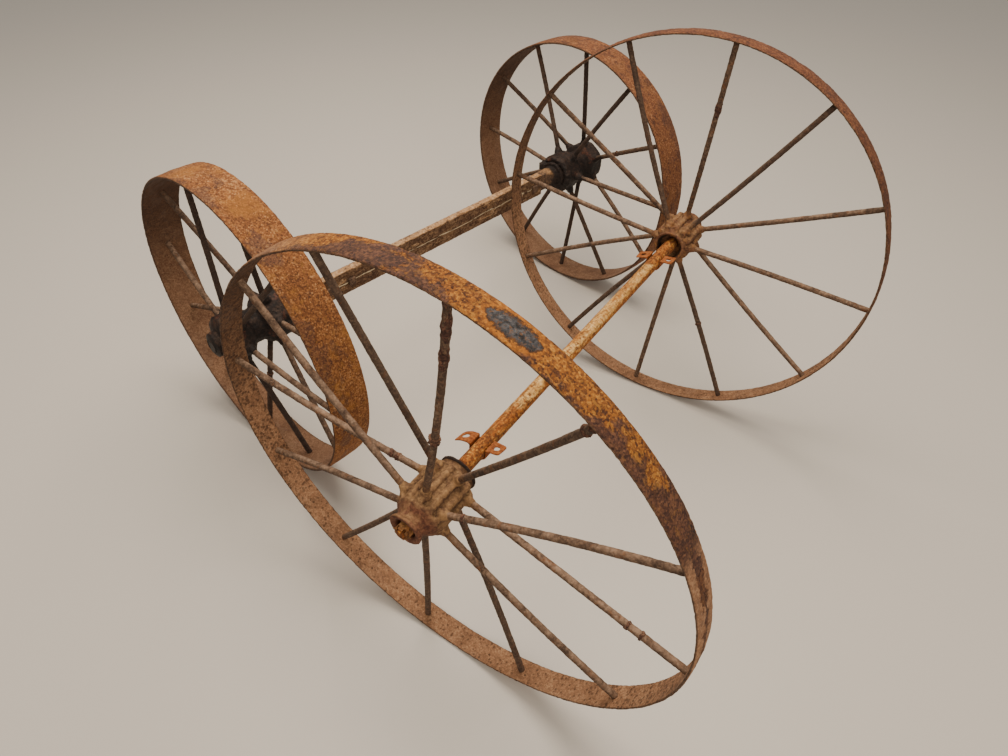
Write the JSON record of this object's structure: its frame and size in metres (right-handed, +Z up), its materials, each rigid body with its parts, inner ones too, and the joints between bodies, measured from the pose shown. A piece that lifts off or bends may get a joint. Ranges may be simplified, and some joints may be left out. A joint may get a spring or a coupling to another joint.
{
  "type": "hay wagon running gear",
  "caption": "Hay wagon axle sets: a bar axle on tall narrow spoked wheels and a channel beam on lower wide-tyred spoked wheels, all free to turn.",
  "frame": {"origin": "on the ground, at the centre of the whole part's footprint", "axes": "+Z up, Y along the bar axle with the far wheels at +Y, X the way the tall wheels roll, with the beam and its low wheels towards -X"},
  "size_m": [1.6658, 1.6646, 1.015],
  "materials": {
    "tall_rim": "rusted, flaking scale",
    "low_rim": "rusted, pitted",
    "tall_spokes": "rusted, dusty",
    "low_spokes": "rusted, dusty",
    "tall_hub": "rusted casting",
    "low_hub": "black greasy casting",
    "bar": "cream paint worn to rust",
    "beam": "cream paint flaking off rust",
    "arms": "black greasy forging",
    "clips": "bright rust",
    "fasteners": "rusted"
  },
  "bodies": {
    "root": {"arm_bolts_far": "fasteners", "arm_bolts_near": "fasteners", "arm_cotter_far": "fasteners", "arm_cotter_near": "fasteners", "arm_far": "arms", "arm_near": "arms", "arm_nut_far": "fasteners", "arm_nut_near": "fasteners", "arm_washer_far": "fasteners", "arm_washer_near": "fasteners", "bar_axle": "bar", "bar_cotter_far": "fasteners", "bar_cotter_near": "fasteners", "bar_nut_far": "fasteners", "bar_nut_near": "fasteners", "bar_washer_far": "fasteners", "bar_washer_near": "fasteners", "beam": "beam", "clip_far": "clips", "clip_near": "clips"},
    "wheel_tall_near": {"tall_near_hub": "tall_hub", "tall_near_rim": "tall_rim", "tall_near_spokes_inner": "tall_spokes", "tall_near_spokes_outer": "tall_spokes"},
    "wheel_tall_far": {"tall_far_hub": "tall_hub", "tall_far_rim": "tall_rim", "tall_far_spokes_inner": "tall_spokes", "tall_far_spokes_outer": "tall_spokes"},
    "wheel_low_near": {"low_near_hub": "low_hub", "low_near_rim": "low_rim", "low_near_spokes_inner": "low_spokes", "low_near_spokes_outer": "low_spokes"},
    "wheel_low_far": {"low_far_hub": "low_hub", "low_far_rim": "low_rim", "low_far_spokes_inner": "low_spokes", "low_far_spokes_outer": "low_spokes"}
  },
  "joints": [
    {"name": "tall_near_spin", "type": "hinge", "parent": "root", "child": "wheel_tall_near", "pos_m": [0.32506, -0.73448, 0.50754], "axis": [0.0261, 0.9984, 0.0506], "continuous": true},
    {"name": "tall_far_spin", "type": "hinge", "parent": "root", "child": "wheel_tall_far", "pos_m": [0.32506, 0.32152, 0.50754], "axis": [-0.0261, 0.9984, -0.0506], "continuous": true},
    {"name": "low_near_spin", "type": "hinge", "parent": "root", "child": "wheel_low_near", "pos_m": [-0.43388, -0.497, 0.39904], "axis": [0.1839, 0.9827, 0.0209], "continuous": true},
    {"name": "low_far_spin", "type": "hinge", "parent": "root", "child": "wheel_low_far", "pos_m": [-0.20799, 0.71004, 0.39904], "axis": [0.1839, 0.9827, -0.0209], "continuous": true}
  ]
}
